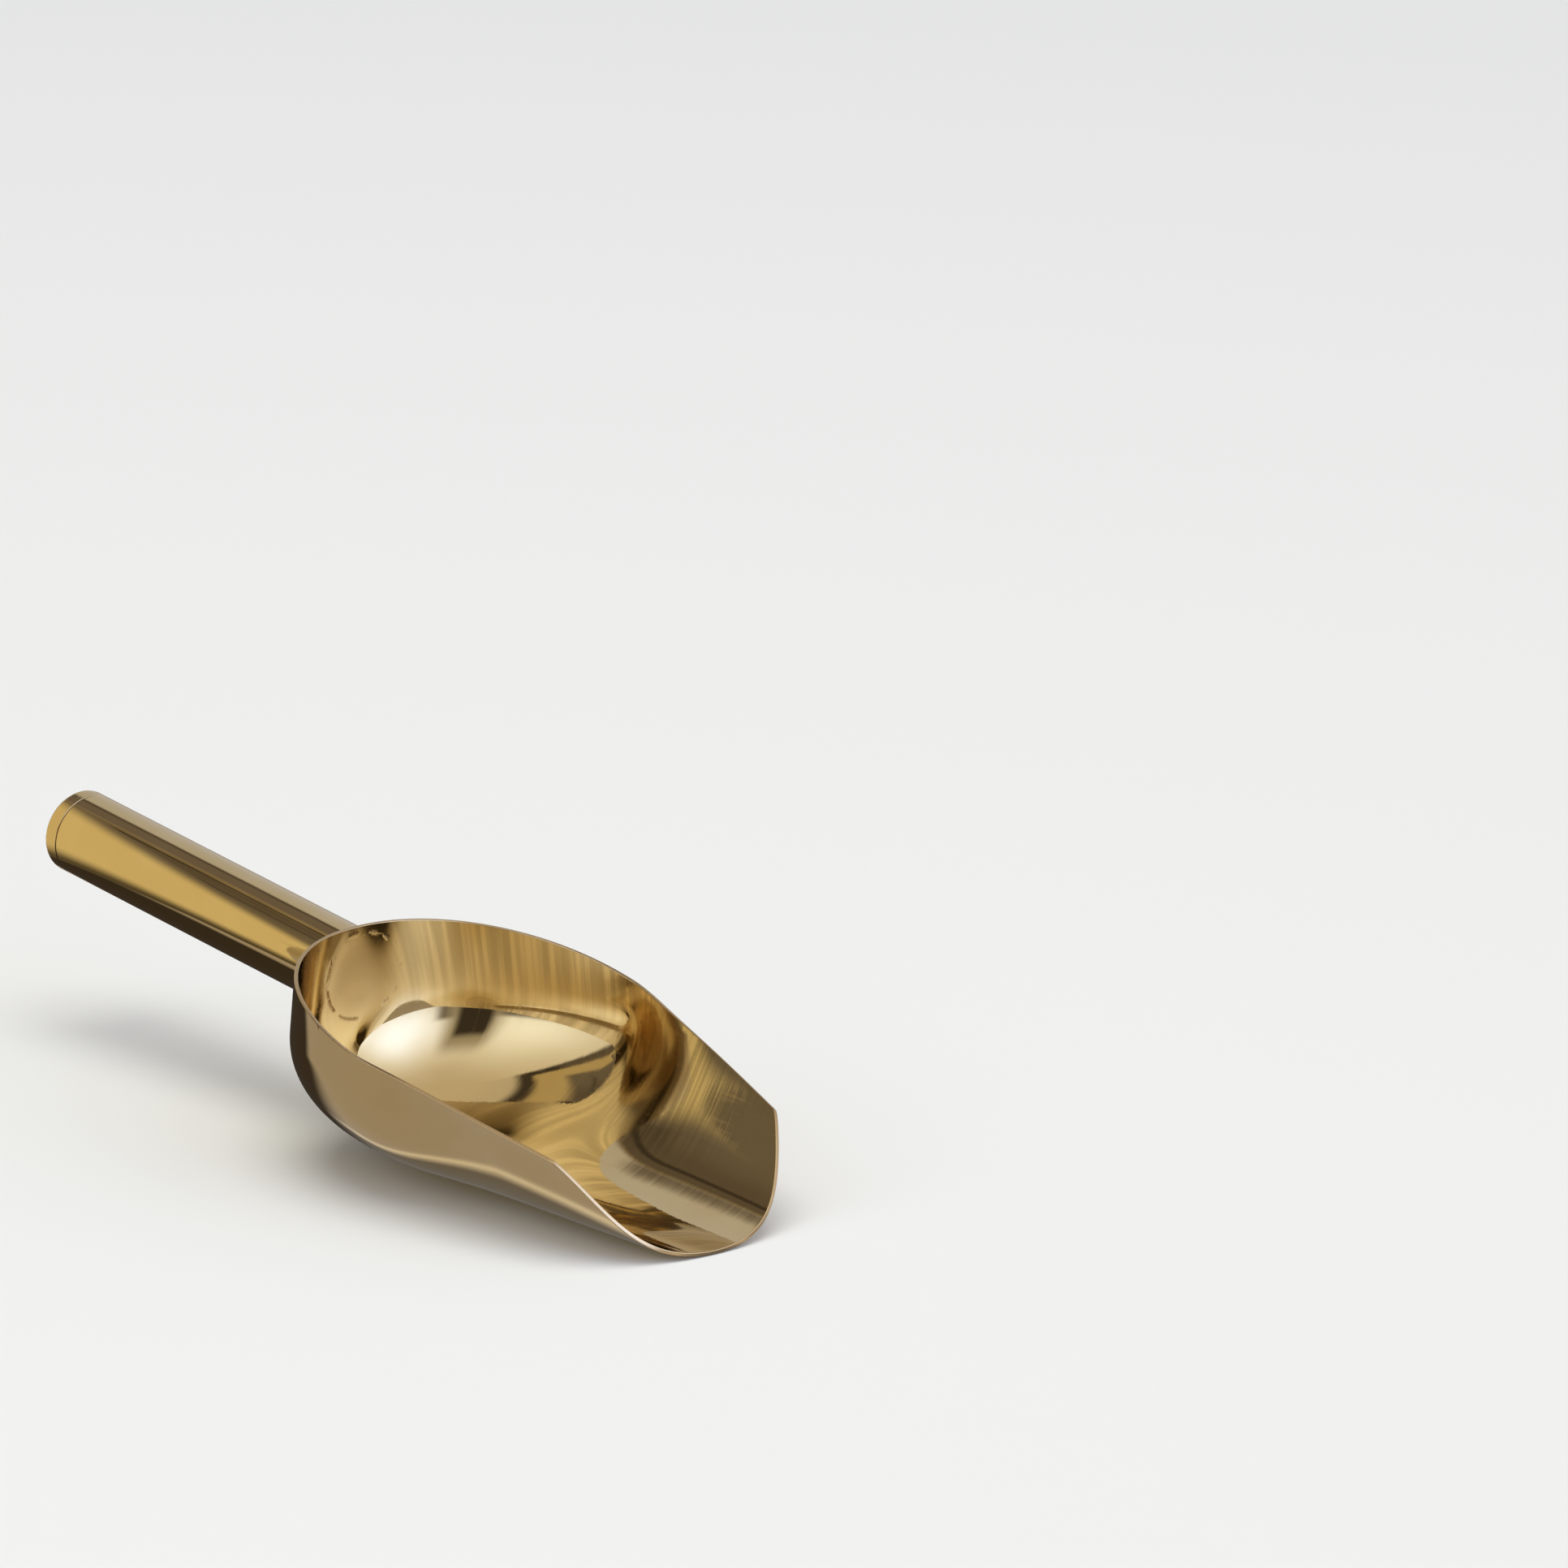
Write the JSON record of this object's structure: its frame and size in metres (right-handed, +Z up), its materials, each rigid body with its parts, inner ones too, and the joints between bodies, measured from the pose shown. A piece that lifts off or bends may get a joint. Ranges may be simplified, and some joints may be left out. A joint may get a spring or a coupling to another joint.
{
  "type": "ice scoop",
  "caption": "Ice scoop with a deep one-piece bowl, a curved-down pouring lip and a straight round tube handle welded to its back, closed by a turned end cap.",
  "frame": {"origin": "middle of the bounding box in X and Y, on the surface the bowl stands on", "axes": "+X from the handle towards the lip, +Y across, +Z up; the XZ plane is the plane of symmetry"},
  "size_m": [0.232, 0.0812, 0.0534],
  "materials": {
    "bowl_metal": "mirror-polished gold-coloured coating on stainless steel sheet",
    "handle_metal": "mirror-polished gold-coloured coating on stainless steel tube",
    "cap_metal": "turned and polished gold-coloured coating",
    "weld_metal": "ground and part-polished weld under the same coating"
  },
  "bodies": {
    "root": {"scoop_bowl": "bowl_metal", "handle_tube": "handle_metal", "handle_end_cap": "cap_metal", "weld_fillet": "weld_metal"}
  },
  "joints": []
}
